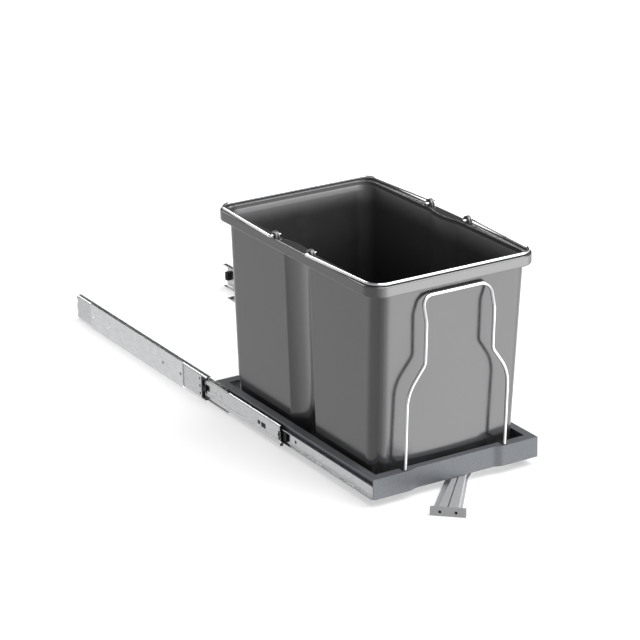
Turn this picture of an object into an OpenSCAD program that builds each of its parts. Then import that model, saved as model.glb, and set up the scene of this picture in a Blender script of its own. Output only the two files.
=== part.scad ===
// Pull-out waste bin on a sheet-steel frame with full-extension ball slides.
// X runs across, Y from the front rail to the rear ends of the slides, Z up.
// The origin is on the floor, in the middle of the whole part's footprint,
// and the frame is drawn pulled fully out, as it is shown.

/* [Frame] */
// Width over the top flanges of the side rails
frame_w = 252.5; // [230:0.5:280]
// Depth from the front face to the back face
frame_d = 406.5; // [380:0.5:440]
// Height of the rails
frame_h = 28; // [26:0.5:34]
// Thickness of the rails' sheet
sheet_t = 1.5; // [1:0.1:2]
// Space between the floor and the rails
floor_gap = 11.5; // [9:0.5:14]
// Depth of the front rail's top flange
front_flange = 13.6; // [12:0.2:16]
// Depth of the back rail's top flange
back_flange = 15; // [12:0.5:17]
// How far a side rail's top flange reaches outward over the slide
side_overhang = 5.25; // [4.5:0.25:6]
// Width of a side rail's top flange
side_flange = 11.65; // [9:0.05:14]
// Width of the inward lip that carries the bin
lip_w = 19; // [16:0.5:20]
// How far the middle of the front face is set back
recess = 4; // [2:0.5:5]
// Half the width of the set-back middle
recess_half = 65; // [55:1:66]
// Length of the curve from the face into the set-back middle
recess_blend = 16; // [10:1:18]

/* [Slides] */
// Length of the outer members
slide_len = 406.5; // [395:0.5:440]
// Thickness of a closed slide
slide_t = 9.6; // [9.5:0.05:10.2]
// Thickness of the members' steel
steel_t = 1; // [0.8:0.05:1.05]
// Height of the outer members
outer_h = 36.2; // [35.8:0.1:36.4]
// Height of the middle members
middle_h = 29.4; // [28.6:0.1:29.8]
// Height of the inner members
inner_h = 19.9; // [19.4:0.1:20.6]
// Height of the slides' centre line above the floor
slide_z = 19.5; // [19.4:0.1:19.6]
// How far the frame travels from in to out
travel = 423; // [400:1:430]
// Length of the middle members
middle_len = 370; // [350:1:376]
// Length of the inner members
inner_len = 385; // [372:1:386]
// Length of the outer ball cages
outer_cage_len = 205; // [160:1:215]
// Length of the inner ball cages
inner_cage_len = 140; // [100:1:145]
// Spacing of the balls along a cage
ball_pitch = 18; // [14:1:24]

/* [Mounting brackets] */
// Thickness of the brackets' steel
bracket_t = 1.2; // [0.8:0.1:1.3]
// Height of the brackets' upright wall
bracket_h = 39.4; // [38:0.1:41]
// Length of the brackets
bracket_len = 290; // [285:1:300]
// Width of the brackets' foot on the cabinet floor
foot_w = 30; // [24:1:34]
// How far the bracket stops short of the slide's rear end
bracket_back = 49.5; // [40:0.5:56]
// Radius of the cabinet screw holes
cabinet_hole_r = 2.2; // [1.8:0.1:2.6]
// Spacing of each pair of cabinet screw holes
cabinet_pair = 224; // [192:32:224]
// Spacing of the two holes in the brackets' foot
foot_pair = 192; // [160:32:224]

/* [Bin] */
// Height of the bin
bin_h = 279.3; // [240:0.5:320]
// Thickness of the bin's wall
bin_wall = 2.5; // [2:0.1:3]
// Radius of the rim's corners
rim_r = 26; // [22:1:30]
// Height of the rim's skirt
skirt_h = 14; // [11:0.5:18]
// How far the rim stays inside the frame's width on each side
rim_side = 1.5; // [1:0.5:4]
// How far the rim hangs over the front face
rim_front = 2.6; // [1:0.2:4]
// How far the rim stays short of the back face
rim_back = 6.2; // [4:0.2:8]
// How far the walls stand in from the rim under the skirt, at the sides
side_in = 10.8; // [10.2:0.1:12]
// The same at the front
front_in = 7; // [6.6:0.1:9]
// The same at the back
back_in = 11.5; // [9:0.1:13]
// Gap between the bin and the frame's opening at the sides
side_gap = 5.1; // [4.1:0.1:7]
// Gap between the bin and the front flange
front_gap = 10; // [6:0.5:14]
// Gap between the bin and the back flange
back_gap = 4.5; // [3:0.5:6]
// Width of the upright groove in each long side
groove_w = 64; // [50:1:70]
// Depth of that groove at the foot
groove_d = 8; // [5:0.5:9]
// Depth of that groove at the rim
groove_top = 5; // [3:0.5:8]
// How far the front and back walls bow out at their middle
bow = 3; // [0:0.5:4]

/* [Pull hoop] */
// Diameter of the hoop's wire
hoop_d = 4.5; // [4:0.1:5]
// Half the spacing of the hoop's legs
leg_half = 76.2; // [75:0.2:80]
// Half the spacing of its narrow neck
neck_half = 50.9; // [46:0.2:56]
// Height of the middle of the hoop's shoulders above the frame
shoulder_h = 116.5; // [100:0.5:130]
// Slope of the shoulders from upright
shoulder_angle = 35; // [25:1:45]
// Bend radius from the legs into the shoulders
leg_bend_r = 60; // [20:1:64]
// Bend radius from the shoulders into the neck
neck_bend_r = 16; // [10:1:24]
// Forward lean of the legs and neck
hoop_lean = 3.6; // [2:0.2:4.4]
// How far the hoop's top bar lies under the bin's skirt
hoop_drop = 9.6; // [8:0.2:20]
// Height of the part that leans back to the bin
hoop_top_h = 32.4; // [22:0.2:36]
// Bend radius of the hoop's top corners
hoop_corner_r = 14; // [6:0.5:16]
// Gap between the hoop's top bar and the bin
hoop_gap = 2; // [1.4:0.2:5]

/* [Bails] */
// Diameter of the bails' wire
bail_d = 4; // [3:0.1:4.4]
// How far the bail's centre line lies in from the rim's sides at its corners
bail_in = 4.6; // [2.6:0.1:6]
// The same at the rim's front and back
bail_end_in = 4.8; // [3:0.1:6]
// Height of the hinge line above the rim
hinge_h = 2.8; // [2.6:0.1:4]
// Angle by which the bail's arms splay outward towards the clips
bail_splay = 3.2; // [1.6:0.1:3.4]
// Distance between the two bails' hinge lines
clip_gap = 89; // [80:1:100]
// How far the middle between them lies nearer the front than the groove
clip_shift = 1.9; // [0:0.1:6]
// Width of a clip along the rim
clip_w = 15; // [12:0.5:15]
// Height of a clip above the rim
clip_h = 8.8; // [8:0.2:12]
// Thickness of a clip
clip_t = 4.8; // [4.2:0.1:5]
// How far a clip stands in from the rim's edge
clip_edge = 2.5; // [2:0.1:4]
// Radial running fit of the bails' ends in the clips
pin_fit = 0.08; // [0.02:0.01:0.1]

/* [Brace bar] */
// Length of the brace over its end plates
brace_len = 226; // [200:1:240]
// Width of the end plates
plate_w = 46; // [42:1:50]
// Height of the end plates
plate_h = 11.2; // [9:0.1:11.2]
// Thickness of the end plates
plate_t = 5; // [4:0.5:6]
// Width of the bar at an end plate
brace_w = 38; // [36:0.5:42]
// Width of the bar at its middle
brace_waist = 28.5; // [27:0.1:34]
// Spacing of the two holes in an end plate
plate_holes = 20.6; // [18:0.2:22]
// Radius of those holes
plate_hole_r = 2.05; // [1.5:0.05:2.4]
// Angle at which the brace lies under the front rail
brace_angle = 46.5; // [40:0.5:55]

/* [Hidden] */
$fn = 48;

// Small distance by which a cut runs past a face
cut = 1;
// Gap between pieces of different bodies that pass or rest on each other
slip = 0.3;
// Gap between a ball and its raceways, on both sides together
ball_play = 0.1;

// Frame levels and edges
frame_top = floor_gap + frame_h;
wall_x = frame_w / 2 - side_overhang;
rail_back = frame_d - back_flange - 3.5;
back_half = wall_x - 9;
inner_front = sheet_t + 1.5;

// Slides: s runs from the outer member's outer face towards the frame
slide_x = wall_x + slide_t;
bracket_x = slide_x + bracket_t;
outer_front = inner_front + travel + 2;
outer_back = outer_front + slide_len;
middle_set = 12.5;
middle_front = outer_front + middle_set - travel / 2;
middle_back = middle_front + middle_len;
outer_cage_back = middle_back - 0.065 * middle_len;
inner_cage_back = inner_front + 0.97 * inner_len;
middle_s = 1.9;
middle_flange = 6;
outer_flange = 7.5;
inner_flange = 5.1;
web_s = middle_s + 0.5;
web_half = middle_h / 2 - 8;
outer_ball_d = outer_h / 2 - steel_t - middle_h / 2 - ball_play;
inner_ball_d = middle_h / 2 - steel_t - inner_h / 2 - ball_play;
outer_ball_z = (outer_h / 2 - steel_t + middle_h / 2) / 2;
inner_ball_z = (middle_h / 2 - steel_t + inner_h / 2) / 2;
outer_ball_s = 4.8;
inner_ball_s = slide_t - 3.4;
cage_t = 0.4;
cage_open = outer_front - (outer_cage_back - outer_cage_len) + 4;
outer_cage_s = (steel_t + middle_s - cage_t) / 2;
inner_cage_s = (web_s + steel_t + slide_t - inner_flange - cage_t) / 2;
stop_len = 13;
stop_slots = stop_len + 4;
slot_w = 3;
slot_h = 4;
slot_step = 11;
stop_block = 12;
cap_t = 1.2;
cap_h = 3.9;
cap_edge = 0.2;
web_slot_y = middle_front + 0.104 * middle_len;
// Windows in the middle member's web: place along the slide, length, lower edge and height
web_slots = [[0, 12, -3.6, 7], [14.5, 7, -2.2, 5.5]];
slit_len = 28;
slit_end = 12;
slit_z = slide_z + outer_h / 2 - 3.7;
bumper_len = 8;
bumper_back = 4;
bumper_h = 13;
screw_z = slide_z;
screw_r = 1.9;
screw_gap = 0.1;
lever_front = middle_front - 10.5;
lever_len = 30;
spare_step = 30;
spare_y = middle_front - spare_step;
spare_r = 2.4;
lever_h = 13.6;
lever_pin_r = 1.5;
lever_pin_y = lever_front + lever_len - 6;
lever_s = slide_t - inner_flange + 1;
bracket_rear = outer_back - bracket_back;
bracket_front = bracket_rear - bracket_len;
cabinet_edge = 6.5;
pair_shift = 53;
cabinet_step = min(cabinet_pair, 32 * floor((bracket_len - pair_shift - 1.8 * cabinet_edge) / 32));
cabinet_y = bracket_rear - cabinet_edge;
foot_y = bracket_rear - bracket_len / 2;
foot_x = bracket_x - foot_w * 0.6;

// Bin
bin_z = floor_gap + sheet_t + slip;
rim_z = bin_z + bin_h;
skirt_z = rim_z - skirt_h;
rim_half = frame_w / 2 - rim_side;
rim_y0 = -rim_front;
rim_y1 = frame_d - rim_back;
groove_y = (rim_y0 + rim_y1) / 2;
bow_drop = 0.5 * bin_h;
body_r = rim_r - 4;
side_low = side_flange - rim_side + side_gap;
front_low = front_flange + rim_front + front_gap;
back_low = back_flange - rim_back + back_gap;

// Bails and clips
bail_r = bail_d / 2;
bail_z = rim_z + hinge_h;
clip_x = rim_half - clip_edge - clip_t;
front_clip_y = groove_y - clip_shift - clip_gap / 2;
rear_clip_y = groove_y - clip_shift + clip_gap / 2;
bail_corner = rim_r - bail_end_in;
pin_end_x = clip_x - 5.4;

// Hoop
wire_r = hoop_d / 2;
hoop_y = sheet_t + wire_r + 0.25;
hoop_foot_z = floor_gap + sheet_t + 2;
hoop_top_z = skirt_z - hoop_drop;
hoop_bend_z = hoop_top_z - hoop_top_h;
hoop_foot_y = hoop_y + (frame_top - hoop_foot_z) * tan(hoop_lean);
hoop_bend_y = hoop_y - (hoop_bend_z - frame_top) * tan(hoop_lean);
hoop_bar_y = rim_y0 + wall_inset(hoop_top_z, front_in, front_low) - hoop_gap - wire_r;
bend_sum = leg_bend_r + neck_bend_r;
shoulder_run = (leg_half - neck_half - bend_sum * (1 - cos(shoulder_angle))) / sin(shoulder_angle);
shoulder_rise = bend_sum * sin(shoulder_angle) + shoulder_run * cos(shoulder_angle);
socket_fit = 0.05;
socket_w = 8;

// Brace: the middle of its front plate's face, and its direction
brace_x = -61;
brace_y = -70;
brace_z = 0.4;
brace_low = 3;
brace_wall = 1.2;

// Middle of the whole footprint along Y, which becomes the origin
front_most = brace_y - plate_w / 2 * cos(brace_angle);
mid_y = (front_most + outer_back) / 2;

// Inset of a bin wall from the rim at height z, from its value under the skirt to its value at the frame
function wall_inset(z, top, low) = top + (low - top) * (skirt_z - z) / (skirt_z - frame_top);

// Set-back of the front face at x
function face_y(x) = recess * ease((recess_half + recess_blend / 2 - abs(x)) / recess_blend);
function ease(t) = t <= 0 ? 0 : t >= 1 ? 1 : t * t * (3 - 2 * t);

module in_place() { translate([0, -mid_y, 0]) children(); }

// Draws its child on the left, or mirrored on the right
module on_side(right) {
    in_place() mirror([right ? 1 : 0, 0, 0]) children();
}

// Extrudes a profile drawn in X and Z from y0 to y1
module along_y(y0, y1) {
    translate([0, y1, 0]) rotate([90, 0, 0]) linear_extrude(y1 - y0) children();
}

// Extrudes a slide profile drawn in s and z on the left slide
module slide_run(y0, y1) {
    translate([-slide_x, 0, slide_z]) along_y(y0, y1) children();
}

// Half of a rounded bar's section: flat at s = depth, rounded corners at s = 0
module half_round(h, depth, r) {
    translate([r, -h / 2]) square([depth - r, h]);
    translate([0, r - h / 2]) square([depth, h - 2 * r]);
    for (z = [-1, 1]) translate([r, z * (h / 2 - r)]) circle(r);
}

// Section of a rolled channel with its web at s = 0
module channel(h, depth, r) {
    difference() {
        half_round(h, depth, r);
        translate([steel_t, 0]) half_round(h - 2 * steel_t, depth + cut, r - steel_t);
    }
}

// Front rail: face, top flange and lower lip, with the set-back middle
module front_rail() {
    steps = 8;
    edge = recess_half + recess_blend / 2;
    start = recess_half - recess_blend / 2;
    right = [for (i = [0 : steps]) start + (edge - start) * i / steps];
    xs = concat([-frame_w / 2], [for (i = [0 : steps]) -right[steps - i]], right, [frame_w / 2]);
    last = len(xs) - 1;
    lip_x = wall_x - sheet_t - slip;
    face = [for (x = xs) [x, face_y(x)]];
    rear = [for (i = [0 : last]) [xs[last - i], face_y(xs[last - i]) + sheet_t]];
    in_place() color([0.38, 0.39, 0.41]) difference() {
        union() {
            translate([0, 0, floor_gap]) linear_extrude(frame_h) polygon(concat(face, rear));
            translate([0, 0, frame_top - sheet_t]) linear_extrude(sheet_t)
                polygon(concat(face, [[frame_w / 2, front_flange], [-frame_w / 2, front_flange]]));
            translate([0, 0, floor_gap]) linear_extrude(sheet_t)
                polygon(concat([for (p = face) if (abs(p[0]) < wall_x) p],
                    [[lip_x, face_y(0) + sheet_t], [lip_x, front_flange],
                     [-lip_x, front_flange], [-lip_x, face_y(0) + sheet_t]]));
        }
        for (side = [-1, 1]) translate([side * leg_half, hoop_y, frame_top - sheet_t - cut]) {
            cylinder(r = wire_r + 0.9, h = sheet_t + 2 * cut);
            translate([-wire_r - 0.9, 0, 0]) cube([hoop_d + 1.8, front_flange, sheet_t + 2 * cut]);
        }
    }
}

// Back rail: face, top flange and a small lower lip
module back_rail() {
    in_place() color([0.38, 0.39, 0.41]) {
        translate([-back_half, frame_d - sheet_t, floor_gap])
            cube([2 * back_half, sheet_t, frame_h - sheet_t]);
        translate([-frame_w / 2, frame_d - back_flange, frame_top - sheet_t])
            cube([frame_w, back_flange, sheet_t]);
        translate([-back_half, frame_d - back_flange, floor_gap]) cube([2 * back_half, back_flange, sheet_t]);
    }
}

// Side rail: wall, top flange over the slide and the inward lip under the bin
module side_rail(right) {
    on_side(right) color([0.38, 0.39, 0.41]) difference() {
        union() {
            translate([-wall_x, sheet_t, floor_gap])
                cube([sheet_t, rail_back - sheet_t, frame_h - sheet_t]);
            translate([-frame_w / 2, front_flange, frame_top - sheet_t])
                cube([side_flange, frame_d - front_flange - back_flange, sheet_t]);
            translate([-wall_x + sheet_t, front_flange, floor_gap])
                cube([lip_w - sheet_t, frame_d - front_flange - back_flange, sheet_t]);
        }
        for (y = screw_ys()) translate([-wall_x - cut, y, screw_z]) rotate([0, 90, 0])
            cylinder(r = screw_r + screw_gap, h = sheet_t + 2 * cut);
        translate([-wall_x - cut, spare_y, slide_z]) rotate([0, 90, 0])
            cylinder(r = spare_r + screw_gap, h = sheet_t + 2 * cut);
    }
}

// Places along Y of the screws that hold an inner member to its rail, as shares of its length
function screw_ys() = [for (share = [0.67, 0.81, 0.94]) inner_front + share * inner_len];

// Wire hoop that pulls the frame out, in two tilted planes
module pull_hoop() {
    low = (frame_top - hoop_foot_z) / cos(hoop_lean);
    middle = shoulder_h / cos(hoop_lean);
    neck_top = (hoop_bend_z - frame_top) / cos(hoop_lean);
    start = middle - shoulder_rise / 2;
    rise = hoop_top_z - hoop_bend_z;
    run = hoop_bar_y - hoop_bend_y;
    top_len = sqrt(rise * rise + run * run);
    top_lean = atan2(run, rise);
    over = 0.4;
    in_place() color([0.8, 0.81, 0.83]) {
        translate([0, hoop_y, frame_top]) rotate([90 + hoop_lean, 0, 0]) for (side = [0, 1])
            mirror([side, 0, 0]) {
                wire([leg_half, -low, 0], start + low + over);
                translate([leg_half - leg_bend_r, start, 0]) bend(leg_bend_r, 0, shoulder_angle);
                translate([leg_half - leg_bend_r * (1 - cos(shoulder_angle)),
                    start + leg_bend_r * sin(shoulder_angle), 0])
                    rotate([0, 0, shoulder_angle]) wire([0, -over, 0], shoulder_run + 2 * over);
                translate([neck_half + neck_bend_r, start + shoulder_rise, 0])
                    bend(neck_bend_r, 180, shoulder_angle);
                wire([neck_half, start + shoulder_rise - over, 0], neck_top - start - shoulder_rise + over);
            }
        translate([0, hoop_bend_y, hoop_bend_z]) rotate([90 - top_lean, 0, 0]) {
            for (side = [0, 1]) mirror([side, 0, 0]) {
                translate([neck_half, 0, 0]) sphere(wire_r + 0.15);
                wire([neck_half, 0, 0], top_len - hoop_corner_r + over);
                translate([neck_half - hoop_corner_r, top_len - hoop_corner_r, 0])
                    bend(hoop_corner_r, 0, 90);
            }
            translate([hoop_corner_r - neck_half - over, top_len, 0]) rotate([0, 90, 0])
                cylinder(r = wire_r, h = 2 * (neck_half - hoop_corner_r + over));
        }
    }
}

// Straight wire that runs along local Y from a point
module wire(from, length) {
    translate(from) rotate([-90, 0, 0]) cylinder(r = wire_r, h = length);
}

// Wire bent through an angle about the local origin, from a first direction
module bend(radius, from, angle) {
    rotate([0, 0, from]) rotate_extrude(angle = angle) translate([radius, 0]) circle(wire_r - 0.05);
}

// Blocks welded behind the front face that hold the hoop's feet
module hoop_sockets() {
    in_place() color([0.3, 0.31, 0.33]) for (side = [-1, 1]) difference() {
        translate([side * leg_half - socket_w / 2, sheet_t, floor_gap + sheet_t])
            cube([socket_w, hoop_foot_y + wire_r + 1, frame_h * 0.55]);
        translate([side * leg_half, hoop_y, frame_top]) rotate([hoop_lean, 0, 0])
            translate([0, 0, -frame_h]) cylinder(r = wire_r + socket_fit, h = frame_h);
    }
}

// Drawer member of a slide, open outward, screwed to the frame's rail
module inner_member(right) {
    on_side(right) color([0.75, 0.76, 0.77]) difference() {
        slide_run(inner_front, inner_front + inner_len)
            translate([slide_t, 0]) mirror([1, 0, 0]) channel(inner_h, inner_flange, 2.4);
        for (y = screw_ys()) translate([-wall_x - steel_t - cut, y, screw_z]) rotate([0, 90, 0])
            cylinder(r = screw_r + screw_gap, h = steel_t + 2 * cut);
        translate([-wall_x - steel_t - cut, lever_pin_y, slide_z]) rotate([0, 90, 0])
            cylinder(r = lever_pin_r + screw_gap, h = steel_t + 2 * cut);
        translate([-wall_x - steel_t - cut, spare_y, slide_z]) rotate([0, 90, 0])
            cylinder(r = spare_r, h = steel_t + 2 * cut);
    }
}

// Pan-head screws through the inner member and the rail
module rail_screws(right) {
    head_r = 3.4;
    head_h = 1.7;
    tail = 3;
    on_side(right) color([0.6, 0.61, 0.62]) for (y = screw_ys())
        translate([-wall_x - steel_t, y, screw_z]) rotate([0, 90, 0]) {
            translate([0, 0, -head_h]) cylinder(r1 = head_r - 0.7, r2 = head_r, h = head_h);
            cylinder(r = screw_r, h = steel_t + sheet_t + tail);
        }
}

// Black lever in the inner member that lets the slide be taken apart
module release_lever(right) {
    on_side(right) color([0.07, 0.07, 0.08]) translate([-slide_x + lever_s, 0, slide_z]) difference() {
        union() {
            translate([0, lever_front + 1, -lever_h / 2])
                cube([slide_t - steel_t - lever_s - slip, lever_len - 7, lever_h]);
            translate([0, lever_pin_y, 0]) rotate([0, 90, 0])
                cylinder(r = lever_h / 2, h = slide_t - steel_t - lever_s - slip);
            translate([0, lever_front, -lever_h / 2 + 0.8])
                cube([slide_t - steel_t - lever_s - 1.4, lever_len / 2, lever_h - 1.6]);
        }
        translate([-cut, lever_pin_y, 0]) rotate([0, 90, 0])
            cylinder(r = lever_pin_r + pin_fit, h = slide_t);
        translate([-cut, lever_front + 9, -1.2]) cube([2.4, 8, 2.4]);
    }
}

// Rivet that the lever turns on
module lever_pin(right) {
    on_side(right) color([0.6, 0.61, 0.62]) translate([-slide_x, lever_pin_y, slide_z]) rotate([0, 90, 0]) {
        translate([0, 0, lever_s - 0.7]) cylinder(r = lever_pin_r + 0.9, h = 0.6);
        translate([0, 0, lever_s - 0.7]) cylinder(r = lever_pin_r, h = slide_t - lever_s + 0.7);
    }
}

// Middle member: two raceways joined by a recessed web
module middle_member(right) {
    on_side(right) color([0.75, 0.76, 0.77]) {
        difference() {
            slide_run(middle_front, middle_back) {
                difference() {
                    translate([middle_s, 0]) channel(middle_h, middle_flange, 2.4);
                    translate([middle_s - cut, -web_half]) square([steel_t + 2 * cut, 2 * web_half]);
                }
                translate([web_s, -web_half - steel_t]) square([steel_t, 2 * (web_half + steel_t)]);
                for (z = [-web_half - steel_t, web_half]) translate([middle_s, z])
                    square([web_s + steel_t - middle_s, steel_t]);
            }
            for (w = web_slots) translate([-slide_x + web_s - cut, web_slot_y + w[0], slide_z + w[2]])
                cube([steel_t + 2 * cut, w[1], w[3]]);
            translate([-slide_x + web_s - cut, middle_front + 4, slide_z - 1.6])
                cube([steel_t + 2 * cut, 2.2, 3.2]);
        }
        for (share = [0.44, 0.48])
            translate([-slide_x + web_s, middle_front + share * middle_len, slide_z])
            rotate([0, -90, 0]) cylinder(r1 = 3.4, r2 = 2.8, h = 0.45);
    }
}

// Black stop in the front end of the middle member, with end caps and the inserts of its windows
module middle_stop(right) {
    on_side(right) color([0.07, 0.07, 0.08]) translate([-slide_x + web_s, 0, slide_z]) {
        for (w = web_slots) translate([0, web_slot_y + w[0], w[2]]) cube([steel_t, w[1], w[3]]);
        translate([-0.45, middle_front + 1.2, -stop_block / 2]) cube([0.45, 3.2, stop_block]);
        translate([-0.45, middle_front + 4.2, -1.4]) cube([0.45 + steel_t, 1.8, 2.8]);
        for (side = [0, 1]) mirror([0, 0, side])
            translate([-0.4, middle_front - cap_t, middle_h / 2 - cap_edge - cap_h])
            cube([4.4, cap_t, cap_h]);
    }
}

// Places along Y of the balls in a cage
function ball_ys(y0, y1) = [for (y = [y0 + 8 : ball_pitch : y1 - 6]) y];

// Ball cage: a channel of thin steel with a hole for each ball
module ball_cage(right, y0, y1, s, z, ball_s, ball_d, depth, open_len) {
    on_side(right) color([0.7, 0.71, 0.7]) difference() {
        slide_run(y0, y1) {
            translate([s, -z - cage_t / 2]) square([cage_t, 2 * z + cage_t]);
            for (side = [-1, 1]) translate([s, side * z - cage_t / 2]) square([depth, cage_t]);
        }
        for (y = ball_ys(y0, y1)) for (side = [-1, 1])
            translate([-slide_x + ball_s, y, slide_z + side * z])
            cylinder(d = ball_d + 0.3, h = 2, center = true);
        translate([-slide_x + s - cut, y0 - cut, slide_z - z + 1])
            cube([cage_t + 2 * cut, open_len + cut, 2 * z - 2]);
    }
}

// The balls of one cage, in an upper and a lower row
module balls(right, y0, y1, z, ball_s, ball_d) {
    on_side(right) color([0.85, 0.85, 0.86]) for (y = ball_ys(y0, y1)) for (side = [-1, 1])
        translate([-slide_x + ball_s, y, slide_z + side * z]) sphere(d = ball_d, $fn = 24);
}

// Outer member of a slide, which stays in the cabinet
module outer_member(right) {
    on_side(right) color([0.75, 0.76, 0.77]) difference() {
        slide_run(outer_front, outer_back) channel(outer_h, outer_flange, 2.4);
        translate([-slide_x - cut, outer_front - cut, slide_z - outer_h / 2 + 3.2])
            cube([steel_t + 2 * cut, stop_len + cut, outer_h - 6.4]);
        for (i = [-1, 0, 1]) translate([-slide_x - cut, outer_front, slide_z + i * slot_step - slot_h / 2])
            translate([0, stop_slots, 0]) cube([steel_t + 2 * cut, slot_w, slot_h]);
        for (y = cabinet_holes()) translate([-slide_x - cut, y, slide_z]) rotate([0, 90, 0])
            cylinder(r = cabinet_hole_r, h = steel_t + 2 * cut);
        translate([-slide_x - cut, outer_back - slit_end - slit_len, slit_z])
            cube([steel_t + 2 * cut, slit_len, 1.1]);
        for (z = [-9, 9]) translate([-slide_x - cut, outer_back - 2, slide_z + z - 3])
            cube([steel_t + 2 * cut, 2 + cut, 6]);
    }
}

// Places along Y of the screw holes in the cabinet wall: two pairs
function cabinet_holes() =
    [cabinet_y, cabinet_y - cabinet_step, cabinet_y - pair_shift, cabinet_y - pair_shift - cabinet_step];

// Angle bracket that the slide is welded to: wall and foot with screw holes
module bracket(right) {
    on_side(right) color([0.78, 0.79, 0.8]) difference() {
        union() {
            translate([-bracket_x, bracket_front, 0]) cube([bracket_t, bracket_len, bracket_h]);
            translate([-bracket_x, bracket_front, 0]) cube([foot_w, bracket_len, bracket_t]);
        }
        for (y = cabinet_holes()) translate([-bracket_x - cut, y, slide_z]) rotate([0, 90, 0])
            cylinder(r = cabinet_hole_r, h = bracket_t + 2 * cut);
        for (y = [-1, 1]) translate([-foot_x, foot_y + y * foot_pair / 2, -cut])
            cylinder(r = cabinet_hole_r, h = bracket_t + 2 * cut);
    }
}

// Black plastic stop in the front end of the outer member, and the inserts of its slots
module end_stop(right) {
    h = outer_h - 7;
    on_side(right) color([0.07, 0.07, 0.08]) translate([-slide_x, outer_front, slide_z]) {
        translate([-0.8, stop_len - 4.2, -h / 2]) cube([steel_t + 0.8, 4, h]);
        translate([-0.8, 0, -4.2]) cube([steel_t + 0.8, stop_len - 1, 8.4]);
        for (z = [-h / 2 - 1.6, h / 2 - 2]) translate([-0.8, -1.5, z]) cube([0.8, stop_len + 1, 3.6]);
        for (i = [-1, 0, 1]) translate([0, stop_slots, i * slot_step - slot_h / 2])
            cube([steel_t, slot_w, slot_h]);
    }
}

// Black rubber bumper at the rear end of the outer member
module bumper(right) {
    on_side(right) color([0.05, 0.05, 0.05])
        translate([-slide_x + steel_t, outer_back - bumper_back - bumper_len, slide_z - bumper_h / 2])
        cube([outer_flange - steel_t - slip, bumper_len, bumper_h]);
}

// One closed outline of the bin, anticlockwise, with a groove in each long side
function bin_ring(z, side, front, back, r, groove, bow) =
    let (x = rim_half - side, y0 = rim_y0 + front, y1 = rim_y1 - back, n = 8, m = 14, k = 7)
    let (big = groove > 0 ? (groove_w * groove_w / 4 + groove * groove) / (2 * groove) : 1)
    let (ys = [for (i = [0 : m]) groove_y - groove_w / 2 + groove_w * i / m])
    let (dip = [for (y = ys) groove > 0 ? sqrt(big * big - pow(y - groove_y, 2)) - (big - groove) : 0])
    let (xs = [for (i = [1 : k]) (x - r) * (2 * i / (k + 1) - 1)])
    let (out = [for (u = xs) bow * (1 - pow(u / (x - r), 2))])
    concat(
        [for (i = [0 : k - 1]) [xs[i], y0 - out[i], z]],
        [for (i = [0 : n]) [x - r + r * sin(90 * i / n), y0 + r - r * cos(90 * i / n), z]],
        [for (i = [0 : m]) [x - dip[i], ys[i], z]],
        [for (i = [0 : n]) [x - r + r * cos(90 * i / n), y1 - r + r * sin(90 * i / n), z]],
        [for (i = [k - 1 : -1 : 0]) [xs[i], y1 + out[i], z]],
        [for (i = [0 : n]) [-x + r - r * sin(90 * i / n), y1 - r + r * cos(90 * i / n), z]],
        [for (i = [m : -1 : 0]) [-x + dip[i], ys[i], z]],
        [for (i = [0 : n]) [-x + r - r * cos(90 * i / n), y0 + r - r * sin(90 * i / n), z]]);

// Outline of the bin's wall at a height, moved inward by some amount
function body_ring(z, in) = bin_ring(z, wall_inset(z, side_in, side_low) + in,
    wall_inset(z, front_in, front_low) + in, wall_inset(z, back_in, back_low) + in, body_r - in,
    wall_inset(z, groove_top, groove_d), wall_bow(z));

// Bow of the front and back walls at a height: none under the skirt, full from bow_drop below it
function wall_bow(z) = bow * ease((skirt_z - z) / bow_drop);

// Outline of the rim at a height, moved inward by some amount
function rim_ring(z, in) = bin_ring(z, in, in, in, rim_r - in, 0, 0);

// Inner edge of the rim's top, which follows the walls and their grooves
function ledge_ring(z, in) =
    bin_ring(z, side_in + in, front_in + in, back_in + in, body_r - in, groove_top, 0);

// Bin: tapered walls, a skirted rim and a stepped inner edge
module bin() {
    rings = [
        body_ring(bin_z, 3.5), body_ring(bin_z + 1, 1), body_ring(bin_z + 3.5, 0),
        for (i = [4 : -1 : 0]) body_ring(skirt_z - 1 - bow_drop * i / 4, 0), body_ring(skirt_z + 0.2, 0),
        rim_ring(skirt_z, 1), rim_ring(skirt_z + 1, 0),
        rim_ring(rim_z - 1.6, 0), rim_ring(rim_z - 0.5, 0.5), rim_ring(rim_z, 1.6),
        ledge_ring(rim_z, 0.6), ledge_ring(rim_z - 0.8, 1.2), ledge_ring(rim_z - 6, 1.6),
        ledge_ring(rim_z - 7, 2.1),
        for (i = [0 : 4]) body_ring(skirt_z - 1 - bow_drop * i / 4, bin_wall),
        body_ring(bin_z + bin_wall + 2, bin_wall), body_ring(bin_z + bin_wall, bin_wall + 2)];
    n = len(rings[0]);
    last = len(rings) - 1;
    points = [for (ring = rings) each ring];
    sides = [for (k = [0 : last - 1]) for (i = [0 : n - 1]) let (j = (i + 1) % n)
        each [[k * n + i, (k + 1) * n + i, (k + 1) * n + j], [k * n + i, (k + 1) * n + j, k * n + j]]];
    bottom = [[for (i = [0 : n - 1]) i]];
    floor = [[for (i = [0 : n - 1]) last * n + n - 1 - i]];
    in_place() color([0.42, 0.42, 0.43]) polyhedron(points, concat(bottom, sides, floor));
}

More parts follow.
